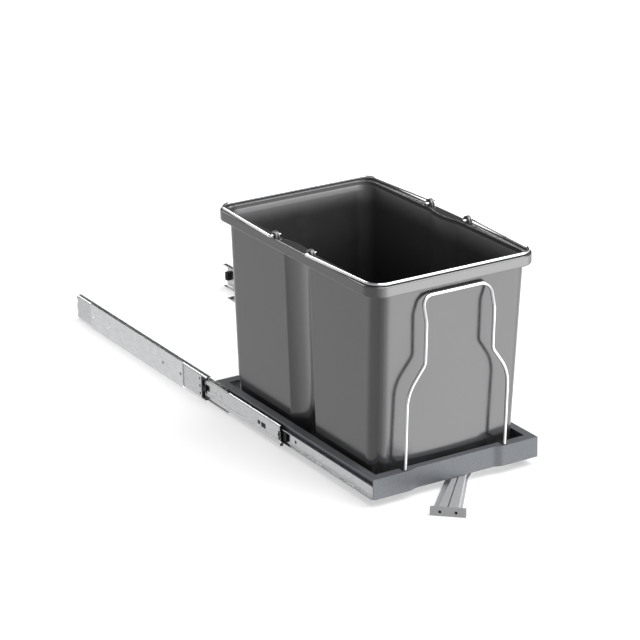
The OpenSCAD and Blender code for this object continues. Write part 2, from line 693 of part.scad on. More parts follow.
// Clip on the rim that a bail's end turns in: two cheeks under an arched hood
module clip(right, y) {
    door = bail_d + 3;
    door_z = clip_h - 2.4 - door / 2;
    on_side(right) color([0.4, 0.4, 0.41]) translate([-clip_x, y, rim_z]) mirror([1, 0, 0])
        difference() {
            rotate([90, 0, 90]) linear_extrude(clip_t) intersection() {
                union() {
                    translate([0, clip_h - clip_w / 2]) circle(clip_w / 2);
                    translate([-clip_w / 2, 0]) square([clip_w, clip_h - clip_w / 2]);
                }
                translate([-clip_w / 2, 0]) square([clip_w, clip_h]);
            }
            translate([0.38 * clip_t, -clip_w / 2 - cut, -cut])
                cube([0.3 * clip_t, clip_w + 2 * cut, clip_h - 2.2 + cut]);
            translate([clip_t / 2, -door / 2, -cut]) cube([clip_t, door, door_z + cut]);
            translate([clip_t / 2, 0, door_z]) rotate([0, 90, 0]) cylinder(d = door, h = clip_t);
            translate([-cut, 0, hinge_h]) rotate([0, 90, 0])
                cylinder(r = bail_r + pin_fit, h = clip_t + 2 * cut);
        }
}

// Wire bail that turns in two clips and lies on the rim with its far end
module bail(clip_y, end_y) {
    back = end_y > clip_y;
    reach = abs(end_y - clip_y);
    tilt = asin((hinge_h - slip - bail_r) / reach);
    corner_x = rim_half - bail_in - bail_corner;
    corner_y = reach - bail_corner;
    arm = (corner_y + bail_corner * sin(bail_splay)) / cos(bail_splay);
    hinge_x = corner_x + bail_corner * cos(bail_splay) + arm * sin(bail_splay);
    over = 0.4;
    in_place() color([0.8, 0.81, 0.83]) translate([0, clip_y, bail_z]) mirror([0, back ? 0 : 1, 0])
        rotate([-tilt, 0, 0]) {
            for (side = [0, 1]) mirror([side, 0, 0]) {
                translate([pin_end_x, 0, 0]) rotate([0, 90, 0]) cylinder(r = bail_r, h = hinge_x - pin_end_x);
                translate([hinge_x, 0, 0]) sphere(bail_r + 0.1);
                translate([hinge_x, 0, 0]) rotate([-90, 0, bail_splay]) cylinder(r = bail_r, h = arm + over);
                translate([corner_x, corner_y, 0]) rotate([0, 0, bail_splay])
                    rotate_extrude(angle = 90 - bail_splay) translate([bail_corner, 0])
                    circle(bail_r - 0.05);
            }
            translate([-corner_x - over, reach, 0]) rotate([0, 90, 0])
                cylinder(r = bail_r, h = 2 * (corner_x + over));
        }
}

// Puts the brace where it lies: its length along local X, from the front plate
module brace_place() {
    in_place() translate([brace_x, brace_y, 0]) rotate([0, 0, brace_angle]) children();
}

// Outline in plan between two edges, each given at an end plate and at the middle of the bar
module brace_outline(end_high, end_low, mid_high, mid_low) {
    half = brace_len / 2;
    polygon([[plate_t, end_low], [half, mid_low], [brace_len - plate_t, end_low],
        [brace_len - plate_t, end_high], [half, mid_high], [plate_t, end_high]]);
}

// Waisted aluminium bar with two hollow ridges
module brace_bar() {
    left = 21.4;
    end_right = left - brace_w;
    mid_right = left - brace_waist;
    ridges = [[13.3, 1.8, 10.4, 5.2], [0.2, end_right + 3.6, 3.6, mid_right + 2.8]];
    top = plate_h - 0.4;
    brace_place() color([0.72, 0.73, 0.75]) difference() {
        union() {
            translate([0, 0, brace_z]) linear_extrude(brace_low)
                brace_outline(left, end_right, left, mid_right);
            for (r = ridges) translate([0, 0, brace_z]) linear_extrude(top - brace_z)
                brace_outline(r[0], r[1], r[2], r[3]);
        }
        for (r = ridges) translate([0, 0, brace_z + 1.2]) linear_extrude(top - brace_z - 2.4)
            brace_outline(r[0] - brace_wall, r[1] + brace_wall, r[2] - brace_wall, r[3] + brace_wall);
    }
}

// End plate of the brace, with two screw holes
module brace_plate(rear) {
    brace_place() translate([rear ? brace_len : 0, 0, 0]) mirror([rear ? 1 : 0, 0, 0])
        color([0.55, 0.56, 0.57]) difference() {
            translate([0, -plate_w / 2, 0]) cube([plate_t, plate_w, plate_h]);
            for (side = [-1, 1]) translate([-cut, side * plate_holes / 2, plate_h / 2])
                rotate([0, 90, 0]) cylinder(r = plate_hole_r, h = plate_t + 2 * cut);
        }
}

module outer_cage(right) {
    ball_cage(right, outer_cage_back - outer_cage_len, outer_cage_back, outer_cage_s, outer_ball_z,
        outer_ball_s, outer_ball_d, outer_flange - outer_cage_s - 0.4, cage_open);
}

module inner_cage(right) {
    ball_cage(right, inner_cage_back - inner_cage_len, inner_cage_back, inner_cage_s, inner_ball_z,
        inner_ball_s, inner_ball_d, slide_t - steel_t - inner_cage_s - 0.4, 0.2 * inner_cage_len);
}

module outer_balls(right) {
    balls(right, outer_cage_back - outer_cage_len, outer_cage_back, outer_ball_z, outer_ball_s, outer_ball_d);
}

module inner_balls(right) {
    balls(right, inner_cage_back - inner_cage_len, inner_cage_back, inner_ball_z, inner_ball_s, inner_ball_d);
}

front_rail();
back_rail();
side_rail(false);  // left_rail
side_rail(true);  // right_rail
pull_hoop();
hoop_sockets();
inner_member(false);  // left_inner_member
inner_member(true);  // right_inner_member
rail_screws(false);  // left_rail_screws
rail_screws(true);  // right_rail_screws
release_lever(false);  // left_release_lever
release_lever(true);  // right_release_lever
lever_pin(false);  // left_lever_pin
lever_pin(true);  // right_lever_pin
middle_member(false);  // left_middle_member
middle_member(true);  // right_middle_member
middle_stop(false);  // left_middle_stop
middle_stop(true);  // right_middle_stop
outer_cage(false);  // left_outer_cage
outer_cage(true);  // right_outer_cage
outer_balls(false);  // left_outer_balls
outer_balls(true);  // right_outer_balls
inner_cage(false);  // left_inner_cage
inner_cage(true);  // right_inner_cage
inner_balls(false);  // left_inner_balls
inner_balls(true);  // right_inner_balls
outer_member(false);  // left_outer_member
outer_member(true);  // right_outer_member
bracket(false);  // left_bracket
bracket(true);  // right_bracket
end_stop(false);  // left_end_stop
end_stop(true);  // right_end_stop
bumper(false);  // left_bumper
bumper(true);  // right_bumper
bin();
clip(false, front_clip_y);  // front_left_clip
clip(true, front_clip_y);  // front_right_clip
clip(false, rear_clip_y);  // rear_left_clip
clip(true, rear_clip_y);  // rear_right_clip
bail(front_clip_y, rim_y0 + bail_end_in);  // front_bail
bail(rear_clip_y, rim_y1 - bail_end_in);  // rear_bail
brace_bar();
brace_plate(false);  // front_brace_plate
brace_plate(true);  // rear_brace_plate
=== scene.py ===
"""Looks of the pull-out waste bin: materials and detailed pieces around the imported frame."""
import math

import bmesh
import bpy
from mathutils import Matrix, Vector


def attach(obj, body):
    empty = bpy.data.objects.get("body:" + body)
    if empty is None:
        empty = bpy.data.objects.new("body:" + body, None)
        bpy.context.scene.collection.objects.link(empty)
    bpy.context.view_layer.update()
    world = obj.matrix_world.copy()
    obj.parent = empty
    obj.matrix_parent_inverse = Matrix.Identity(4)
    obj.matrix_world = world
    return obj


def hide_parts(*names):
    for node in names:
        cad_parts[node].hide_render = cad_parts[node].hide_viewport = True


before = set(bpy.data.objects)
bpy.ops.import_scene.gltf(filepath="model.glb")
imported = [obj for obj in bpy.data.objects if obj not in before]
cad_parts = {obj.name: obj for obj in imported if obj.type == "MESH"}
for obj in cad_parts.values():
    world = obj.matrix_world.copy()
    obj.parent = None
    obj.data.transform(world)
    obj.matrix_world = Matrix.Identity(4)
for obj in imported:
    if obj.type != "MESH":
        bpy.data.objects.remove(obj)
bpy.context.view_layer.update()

MM = 0.001

# Main sizes in millimetres, the same as in the part's source.
# X is measured from the middle, Y from the front face and Z from the floor.
# MID_Y is the middle of the whole part's depth, where the part's own Y is 0.
FRAME_TOP = 39.5
MID_Y = 374.3339

# Bin: heights, rim, walls, groove in the long sides and bow of the short sides.
# SIDE, FRONT and BACK say how far a wall stands inside the rim, at the skirt and at the frame.
BIN_Z = 13.3
RIM_Z = 292.6
SKIRT_Z = 278.6
RIM_HALF = 124.75
RIM_Y0 = -2.6
RIM_Y1 = 400.3
RIM_R = 26.0
BODY_R = 22.0
SIDE_IN, SIDE_LOW = 10.8, 15.25
FRONT_IN, FRONT_LOW = 7.0, 26.2
BACK_IN, BACK_LOW = 11.5, 13.3
GROOVE_Y = (RIM_Y0 + RIM_Y1) / 2
GROOVE_W = 64.0
GROOVE_TOP, GROOVE_LOW = 5.0, 8.0
BOW = 3.0
BOW_DROP = 139.65
BIN_WALL = 2.5

# Bin: roundings and small steps, which the scene draws finer than the part's source.
# Each step is a height from the skirt's edge or below the rim's top, and how far inward.
FOOT_R = 5.0
BASE_RUN = 2.0
FLOOR_R = 4.0
RIM_LOW_R = 1.3
RIM_TOP_R = 1.7
LIP_R = 1.2
EDGE_RUN = 0.3
UNDER_SKIRT = [(-1.2, 0), (-0.2, -0.25), (0.1, -1.2)]
INNER_STEP = [(5.4, 1.5), (6.1, 1.75), (6.6, 2.3)]
WALL_STEPS = 26

# Pull hoop
WIRE_R = 2.25
HOOP_Y = 4.0
HOOP_LEAN = math.radians(3.6)
HOOP_FOOT_Z = 15.0
HOOP_TOP_Z = 269.0
HOOP_BEND_Z = 236.6
HOOP_CORNER_R = 14.0
HOOP_GAP = 2.0
LEG_HALF = 76.2
NECK_HALF = 50.9
SHOULDER_H = 116.5
SHOULDER_ANGLE = math.radians(35)
LEG_BEND_R = 60.0
NECK_BEND_R = 16.0
HOOP_KINK = 3.2

# Bails and their clips
BAIL_R = 2.0
BAIL_IN = 4.6
BAIL_END_IN = 4.8
BAIL_CORNER = RIM_R - BAIL_END_IN
BAIL_SPLAY = math.radians(3.2)
HINGE_H = 2.8
PIN_END_X = 112.05
CLIP_MIDDLE = GROOVE_Y - 1.9
CLIP_GAP = 89.0
REST_GAP = 0.3
BAIL_KINK = 2.2


def place(x, y, z):
    """A point in millimetres from the frame's front, in metres in the part's frame."""
    return Vector((x * MM, (y - MID_Y) * MM, z * MM))


# Materials


class Finish:
    """A material with its principled shader and short ways to add nodes."""

    def __init__(self, name, color, roughness, metallic=0.0, **sockets):
        self.material = bpy.data.materials.new(name)
        self.material.use_nodes = True
        self.nodes = self.material.node_tree.nodes
        self.links = self.material.node_tree.links
        self.shader = self.nodes["Principled BSDF"]
        self.set("Base Color", (*color, 1.0))
        self.set("Roughness", roughness)
        self.set("Metallic", metallic)
        for key, value in sockets.items():
            self.set(key.replace("_", " "), value)
        places = self.nodes.new("ShaderNodeTexCoord")
        self.coords = places.outputs["Object"]
        self.normal = places.outputs["Normal"]

    def set(self, socket, value):
        self.shader.inputs[socket].default_value = value

    def noise(self, size, detail=2.0, stretch=(1, 1, 1)):
        """Noise whose features are about size millimetres, drawn out along some axes."""
        mapping = self.nodes.new("ShaderNodeMapping")
        mapping.inputs["Scale"].default_value = [1 / s for s in stretch]
        self.links.new(self.coords, mapping.inputs["Vector"])
        node = self.nodes.new("ShaderNodeTexNoise")
        node.inputs["Scale"].default_value = 1 / (size * MM)
        node.inputs["Detail"].default_value = detail
        self.links.new(mapping.outputs["Vector"], node.inputs["Vector"])
        return node.outputs["Fac"]

    def ramp(self, factor, low, high, start=0.3, end=0.7):
        """Turns a factor that goes from start to end into a value from low to high."""
        node = self.nodes.new("ShaderNodeMapRange")
        node.inputs["From Min"].default_value = start
        node.inputs["From Max"].default_value = end
        node.inputs["To Min"].default_value = low
        node.inputs["To Max"].default_value = high
        self.links.new(factor, node.inputs["Value"])
        return node.outputs["Result"]

    def math(self, kind, first, second):
        """One step of arithmetic on two values, each a number or an output."""
        node = self.nodes.new("ShaderNodeMath")
        node.operation = kind
        for socket, value in zip(node.inputs, (first, second)):
            if isinstance(value, (int, float)):
                socket.default_value = value
            else:
                self.links.new(value, socket)
        return node.outputs["Value"]

    def parts(self, vector):
        """X, Y and Z of a vector."""
        node = self.nodes.new("ShaderNodeSeparateXYZ")
        self.links.new(vector, node.inputs["Vector"])
        return node.outputs["X"], node.outputs["Y"], node.outputs["Z"]

    def vary_roughness(self, factor, low, high):
        self.links.new(self.ramp(factor, low, high), self.shader.inputs["Roughness"])

    def vary_color(self, factor, dark, light):
        node = self.nodes.new("ShaderNodeMix")
        node.data_type = "RGBA"
        node.inputs["A"].default_value = (*dark, 1.0)
        node.inputs["B"].default_value = (*light, 1.0)
        self.links.new(self.ramp(factor, 0.0, 1.0), node.inputs["Factor"])
        self.links.new(node.outputs["Result"], self.shader.inputs["Base Color"])

    def dim_color(self, factor):
        """Multiplies the colour that is linked to the shader by a factor."""
        node = self.nodes.new("ShaderNodeVectorMath")
        node.operation = "SCALE"
        socket = self.shader.inputs["Base Color"]
        self.links.new(socket.links[0].from_socket, node.inputs[0])
        self.links.new(factor, node.inputs["Scale"])
        self.links.new(node.outputs["Vector"], socket)

    def bump(self, factor, height, strength=1.0):
        """Bump whose full height is given in millimetres."""
        node = self.nodes.new("ShaderNodeBump")
        node.inputs["Strength"].default_value = strength
        node.inputs["Distance"].default_value = height * MM
        self.links.new(factor, node.inputs["Height"])
        self.links.new(node.outputs["Normal"], self.shader.inputs["Normal"])


def make_paint():
    """Satin metallic grey powder coat of the frame."""
    f = Finish("frame_paint", (0.145, 0.153, 0.165), 0.42, 0.45)
    f.vary_color(f.noise(1.4, 4), (0.125, 0.133, 0.144), (0.165, 0.173, 0.186))
    f.vary_roughness(f.noise(1.6, 3), 0.36, 0.48)
    f.bump(f.noise(0.7, 2), 0.02, 0.35)
    return f.material


def make_bin_plastic():
    """Moulded plastic with a metallic grey tint, glossy outside and duller inside, with painted
    shade darkening the inside towards the bottom and painted light on the front faces of the skirt
    and rim.
    """
    f = Finish("bin_plastic", (0.15, 0.15, 0.152), 0.15, 0.85)
    f.vary_color(f.noise(0.5, 2), (0.146, 0.146, 0.149), (0.154, 0.154, 0.156))
    x, y, z = f.parts(f.coords)
    across, along, up = f.parts(f.normal)
    depth = f.math("SUBTRACT", y, (GROOVE_Y - MID_Y) * MM)
    outward = f.math("ADD", f.math("MULTIPLY", x, across), f.math("MULTIPLY", depth, along))
    wall = f.ramp(outward, 1.0, 0.0, start=-0.04, end=-0.01)
    faces_up = f.ramp(up, 0.0, 1.0)
    is_low = f.ramp(z, 1.0, 0.0, start=0.05, end=0.15)
    inside = f.math("MAXIMUM", wall, f.math("MULTIPLY", faces_up, is_low))
    gloss = f.ramp(f.noise(26, 3), 0.16, 0.2)
    dull = f.math("MULTIPLY", inside, f.ramp(f.noise(18, 3), 0.24, 0.3))
    f.links.new(f.math("ADD", gloss, dull), f.shader.inputs["Roughness"])
    # Painted shade: the inside's colour is darkened towards the bottom, down to 0.28 of itself at
    # the bottom.
    painted_depth_shade = f.math("MULTIPLY", inside, f.ramp(z, 0.72, 0.0, start=0.1, end=0.23))
    # Painted light: faces that look forward, from the skirt's edge upward, are made up to half
    # again as bright.
    on_skirt = f.ramp(z, 0.0, 0.5, start=(SKIRT_Z + 0.4) * MM, end=(SKIRT_Z + 2.4) * MM)
    faces_front = f.ramp(along, 1.0, 0.0, start=-0.97, end=-0.7)
    painted_skirt_light = f.math("MULTIPLY", on_skirt, faces_front)
    # Applies the painted light and the painted shade to the colour.
    f.dim_color(f.math("SUBTRACT", f.math("ADD", 1.0, painted_skirt_light), painted_depth_shade))
    f.bump(f.noise(60, 2), 0.12, 0.25)
    return f.material


def make_chrome():
    f = Finish("chrome_wire", (0.86, 0.865, 0.88), 0.07, 1.0)
    f.vary_roughness(f.noise(4, 3), 0.05, 0.1)
    f.bump(f.noise(3, 2), 0.01, 0.2)
    return f.material


def make_zinc(name, color, size=0.9):
    """Zinc-plated rolled steel, with fine marks drawn out along the slide."""
    f = Finish(name, color, 0.3, 1.0)
    light = [min(1.0, c * 1.08) for c in color]
    dark = [c * 0.88 for c in color]
    f.vary_color(f.noise(size, 4, (1, 14, 1)), dark, light)
    f.vary_roughness(f.noise(3, 4, (1, 5, 1)), 0.18, 0.32)
    f.bump(f.noise(size * 0.5, 3, (1, 10, 1)), 0.012, 0.4)
    return f.material


def make_black_plastic():
    f = Finish("black_plastic", (0.006, 0.006, 0.0065), 0.45, Specular_IOR_Level=0.2)
    f.vary_roughness(f.noise(1.2, 3), 0.34, 0.52)
    f.bump(f.noise(0.35, 3), 0.02, 0.5)
    return f.material


def make_rubber():
    f = Finish("black_rubber", (0.012, 0.012, 0.012), 0.75)
    f.vary_roughness(f.noise(1.5, 3), 0.68, 0.85)
    f.bump(f.noise(0.5, 4), 0.03, 0.6)
    return f.material


def make_clip_plastic():
    f = Finish("clip_plastic", (0.17, 0.17, 0.172), 0.3, 0.5)
    f.vary_roughness(f.noise(1.5, 3), 0.26, 0.36)
    f.bump(f.noise(0.4, 3), 0.015, 0.4)
    return f.material


def make_aluminium():
    """Extruded aluminium with a fine random tone."""
    f = Finish("brace_aluminium", (0.62, 0.625, 0.635), 0.45, 0.75)
    f.vary_color(f.noise(0.8, 4), (0.6, 0.605, 0.615), (0.68, 0.685, 0.695))
    f.vary_roughness(f.noise(2, 4), 0.4, 0.5)
    f.bump(f.noise(0.5, 3), 0.015, 0.35)
    return f.material


def make_plate_metal():
    f = Finish("plate_metal", (0.44, 0.445, 0.45), 0.45, 0.75)
    f.vary_color(f.noise(1.2, 4), (0.46, 0.465, 0.47), (0.54, 0.545, 0.55))
    f.vary_roughness(f.noise(1.5, 4), 0.4, 0.52)
    f.bump(f.noise(0.5, 4), 0.03, 0.5)
    return f.material


def make_ball_steel():
    f = Finish("ball_steel", (0.8, 0.8, 0.8), 0.08, 1.0)
    f.vary_roughness(f.noise(2, 2), 0.06, 0.12)
    f.bump(f.noise(0.6, 2), 0.004, 0.2)
    return f.material


def make_floor():
    f = Finish("floor", (0.6, 0.6, 0.6), 0.6)
    f.vary_roughness(f.noise(200, 3), 0.55, 0.65)
    f.set("Specular IOR Level", 0.2)
    f.set("Emission Color", (1.0, 1.0, 1.0, 1.0))
    f.set("Emission Strength", 0.44)
    return f.material


MATERIALS = {
    "frame_paint": make_paint(),
    "bin_plastic": make_bin_plastic(),
    "chrome_wire": make_chrome(),
    "zinc_steel": make_zinc("zinc_steel", (0.63, 0.635, 0.645)),
    "zinc_sheet": make_zinc("zinc_sheet", (0.75, 0.755, 0.775), 1.4),
    "fastener": make_zinc("fastener", (0.62, 0.63, 0.64), 0.4),
    "cage_steel": make_zinc("cage_steel", (0.6, 0.6, 0.58), 0.7),
    "black_plastic": make_black_plastic(),
    "black_rubber": make_rubber(),
    "clip_plastic": make_clip_plastic(),
    "brace_aluminium": make_aluminium(),
    "plate_metal": make_plate_metal(),
    "ball_steel": make_ball_steel(),
}


# Mesh helpers

SHARP_ANGLE = math.radians(30)
FLAT_ANGLE = math.radians(0.5)
SAME_PLACE = 2e-6


def paint(piece, slot):
    """Gives a piece the material of a slot."""
    piece.data.materials.clear()
    piece.data.materials.append(MATERIALS[slot])


def new_object(name, mesh, slot):
    """Links a mesh as an object with the material of a slot."""
    piece = bpy.data.objects.new(name, mesh)
    bpy.context.scene.collection.objects.link(piece)
    paint(piece, slot)
    return piece


def finish_piece(piece, body, slot, *nodes):
    """Attaches a piece to its body and hides the CAD nodes that it stands for; the slot is not
    used.
    """
    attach(piece, body)
    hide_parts(*nodes)
    return piece


def apply_modifiers(piece):
    """Replaces the piece's mesh by the result of its modifiers."""
    bpy.context.view_layer.update()
    graph = bpy.context.evaluated_depsgraph_get()
    mesh = bpy.data.meshes.new_from_object(
        piece.evaluated_get(graph), preserve_all_data_layers=True, depsgraph=graph
    )
    piece.modifiers.clear()
    piece.data = mesh


def round_edges(piece, width, segments=2):
    """Rounds the sharp edges by width millimetres and keeps flat faces flat."""
    bevel = piece.modifiers.new("round", "BEVEL")
    bevel.width = width * MM
    bevel.segments = segments
    bevel.limit_method = "ANGLE"
    bevel.angle_limit = SHARP_ANGLE
    bevel.use_clamp_overlap = True
    piece.data.shade_smooth()
    weighted = piece.modifiers.new("weighted", "WEIGHTED_NORMAL")
    weighted.weight = 50
    weighted.keep_sharp = False
    apply_modifiers(piece)


def clean_mesh(source, name):
    """Copy of a mesh with joined corners and whole flat faces."""
    mesh = source.copy()
    mesh.name = name
    bm = bmesh.new()
    bm.from_mesh(mesh)
    bmesh.ops.remove_doubles(bm, verts=bm.verts, dist=SAME_PLACE)
    bmesh.ops.dissolve_limit(bm, angle_limit=FLAT_ANGLE, verts=bm.verts, edges=bm.edges)
    bm.to_mesh(mesh)
    bm.free()
    return mesh


def dress(node, body, slot, width, segments=2):
    """A copy of a CAD node, with edges rounded by width millimetres, takes its place."""
    mesh = clean_mesh(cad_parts[node].data, node + "_shape")
    piece = new_object(node + "_finish", mesh, slot)
    round_edges(piece, width, segments)
    return finish_piece(piece, body, slot, node)


def mesh_from(name, points, faces):
    """Mesh from points in metres, with its normals pointing outward."""
    mesh = bpy.data.meshes.new(name)
    mesh.from_pydata([tuple(p) for p in points], [], faces)
    bm = bmesh.new()
    bm.from_mesh(mesh)
    bmesh.ops.recalc_face_normals(bm, faces=bm.faces)
    bm.to_mesh(mesh)
    bm.free()
    mesh.shade_smooth()
    return mesh


def loft(name, rings):
    """Closed skin through rings with the same number of points, capped at both ends."""
    count = len(rings[0])
    points = [p for ring in rings for p in ring]
    faces = []
    for k in range(len(rings) - 1):
        for i in range(count):
            j = (i + 1) % count
            faces.append(
                (k * count + i, k * count + j, (k + 1) * count + j, (k + 1) * count + i)
            )
    faces.append(tuple(range(count))[::-1])
    faces.append(tuple(range((len(rings) - 1) * count, len(rings) * count)))
    return mesh_from(name, points, faces)


def tube(name, path, radius, sides=28):
    """Round wire along a path of points in metres, with softly rounded ends."""
    frames = []
    side = None
    for i, point in enumerate(path):
        ahead = path[min(i + 1, len(path) - 1)]
        behind = path[max(i - 1, 0)]
        direction = (ahead - behind).normalized()
        if side is None:
            side = direction.orthogonal().normalized()
        side = (side - direction * side.dot(direction)).normalized()
        frames.append((point, direction, side))

    def ring(at, along=0.0, inward=0.0):
        """Ring at one of the frames, moved along the wire and made smaller."""
        point, direction, across = at
        up = direction.cross(across)
        turns = [2 * math.pi * k / sides for k in range(sides)]
        r = radius - inward
        return [
            point + direction * along + across * (r * math.cos(t)) + up * (r * math.sin(t))
            for t in turns
        ]

    edge = radius / 4
    rounding = [(0.0, edge), (edge * 0.4, edge * 0.3), (edge, 0.0)]
    rings = [ring(frames[0], along, inward) for along, inward in rounding]
    rings += [ring(at) for at in frames[1:-1]]
    rings += [ring(frames[-1], -along, inward) for along, inward in reversed(rounding)]
    return loft(name, rings)


def arc(center, radius, start, end, steps=14):
    """Points of a plane arc, with angles in radians."""
    return [
        (
            center[0] + radius * math.cos(start + (end - start) * i / steps),
            center[1] + radius * math.sin(start + (end - start) * i / steps),
        )
        for i in range(steps + 1)
    ]


def soften_corner(path, index, reach, steps=8):
    """Replaces the corner at one point of a path by a smooth curve."""
    corner = path[index]
    before = corner + (path[index - 1] - corner).normalized() * reach
    after = corner + (path[index + 1] - corner).normalized() * reach
    curve = []
    for i in range(steps + 1):
        t = i / steps
        curve.append(before * (1 - t) ** 2 + corner * 2 * t * (1 - t) + after * t * t)
    return path[:index] + curve + path[index + 1 :]


# Frame and slides


def joined_frame():
    """The four rails as one welded and ground frame."""
    names = ["front_rail", "left_rail", "right_rail", "back_rail"]
    meshes = [clean_mesh(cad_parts[name].data, name + "_shape") for name in names]
    piece = new_object("rail_frame", meshes[0], "frame_paint")
    helpers = []
    for mesh in meshes[1:]:
        helper = bpy.data.objects.new("joined", mesh)
        bpy.context.scene.collection.objects.link(helper)
        union = piece.modifiers.new("join", "BOOLEAN")
        union.operation = "UNION"
        union.solver = "EXACT"
        union.object = helper
        helpers.append(helper)
    apply_modifiers(piece)
    for helper in helpers:
        bpy.data.objects.remove(helper)
    piece.data = clean_mesh(piece.data, "rail_frame")
    paint(piece, "frame_paint")
    round_edges(piece, 0.5, 3)
    return finish_piece(piece, "carriage", "frame_paint", *names)


joined_frame()
dress("hoop_sockets", "carriage", "frame_paint", 0.6)
for side in ("left", "right"):
    dress(side + "_inner_member", "carriage", "zinc_steel", 0.2)
    dress(side + "_rail_screws", "carriage", "fastener", 0.3)
    dress(side + "_lever_pin", "carriage", "fastener", 0.15)
    dress(side + "_release_lever", side + "_lever", "black_plastic", 0.35)
    dress(side + "_middle_member", side + "_middle", "zinc_steel", 0.2)
    dress(side + "_middle_stop", side + "_middle", "black_plastic", 0.12)
    dress(side + "_outer_member", "cabinet_side", "zinc_steel", 0.2)
    dress(side + "_bracket", "cabinet_side", "zinc_sheet", 0.25)
    dress(side + "_end_stop", "cabinet_side", "black_plastic", 0.25)
    dress(side + "_bumper", "cabinet_side", "black_rubber", 0.5)
    for race in ("outer", "inner"):
        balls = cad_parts[f"{side}_{race}_balls"]
        paint(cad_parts[f"{side}_{race}_cage"], "cage_steel")
        paint(balls, "ball_steel")
        balls.data.shade_smooth()
dress("brace_bar", "brace", "brace_aluminium", 0.35)
dress("front_brace_plate", "brace", "plate_metal", 0.6)
dress("rear_brace_plate", "brace", "plate_metal", 0.6)


# Bin

CORNER_STEPS = 18
GROOVE_STEPS = 40
BOW_POINTS = 25
FLAT_STEPS = 6
FLAT_EDGE = 0.8


def bin_ring(z, side, front, back, radius, groove=0.0, bow=0.0):
    """Outline of the bin at a height, anticlockwise, from how far it stands inside the rim."""
    x = RIM_HALF - side
    y0 = RIM_Y0 + front
    y1 = RIM_Y1 - back
    half = x - radius
    big = (GROOVE_W**2 / 4 + groove**2) / (2 * groove) if groove > 0 else 1.0

    def turn(cx, cy, start):
        """One rounded corner, from an angle in degrees."""
        return arc((cx, cy), radius, math.radians(start), math.radians(start + 90), CORNER_STEPS)

    def dip(y):
        """Depth of the groove, whose bottom is an arc of the big radius."""
        if groove <= 0:
            return 0.0
        return math.sqrt(big * big - (y - GROOVE_Y) ** 2) - (big - groove)

    def flat(start, end):
        """Even steps along a flat stretch, with one point close to each end."""
        steps = [start + (end - start) * i / FLAT_STEPS for i in range(1, FLAT_STEPS)]
        return [start + FLAT_EDGE] + steps + [end - FLAT_EDGE]

    groove_0, groove_1 = GROOVE_Y - GROOVE_W / 2, GROOVE_Y + GROOVE_W / 2
    bottom = [groove_0 + GROOVE_W * i / GROOVE_STEPS for i in range(GROOVE_STEPS + 1)]
    before, after = flat(y0 + radius, groove_0), flat(groove_1, y1 - radius)
    along = [(x, y) for y in before] + [(x - dip(y), y) for y in bottom] + [(x, y) for y in after]
    across = [half * (2 * i / (BOW_POINTS + 1) - 1) for i in range(1, BOW_POINTS + 1)]
    outline = [(u, y0 - bow * (1 - (u / half) ** 2)) for u in across]
    outline += turn(x - radius, y0 + radius, -90)
    outline += along
    outline += turn(x - radius, y1 - radius, 0)
    outline += [(u, y1 + bow * (1 - (u / half) ** 2)) for u in reversed(across)]
    outline += turn(-x + radius, y1 - radius, 90)
    outline += [(-px, py) for px, py in reversed(along)]
    outline += turn(-x + radius, y0 + radius, 180)
    return [place(px, py, z) for px, py in outline]


def wall_inset(z, top, low):
    """How far a wall stands inside the rim at a height, between the skirt and the frame."""
    return top + (low - top) * (SKIRT_Z - z) / (SKIRT_Z - FRAME_TOP)


def ease(t):
    """Smooth step from 0 to 1."""
    t = max(0.0, min(1.0, t))
    return t * t * (3 - 2 * t)


def quarter(steps):
    """Sine and cosine at even steps of a quarter turn."""
    turns = [math.radians(90 * i / steps) for i in range(steps + 1)]
    return [(math.sin(t), math.cos(t)) for t in turns]


def body_ring(z, inward):
    """Outline of the wall at a height, moved inward."""
    return bin_ring(
        z,
        wall_inset(z, SIDE_IN, SIDE_LOW) + inward,
        wall_inset(z, FRONT_IN, FRONT_LOW) + inward,
        wall_inset(z, BACK_IN, BACK_LOW) + inward,
        BODY_R - inward,
        wall_inset(z, GROOVE_TOP, GROOVE_LOW),
        BOW * ease((SKIRT_Z - z) / BOW_DROP),
    )


def rim_ring(z, inward):
    """Outline of the rim at a height, moved inward."""
    return bin_ring(z, inward, inward, inward, RIM_R - inward)


def ledge_ring(z, inward):
    """Inner edge of the rim, which follows the walls."""
    return bin_ring(
        z, SIDE_IN + inward, FRONT_IN + inward, BACK_IN + inward, BODY_R - inward, GROOVE_TOP
    )


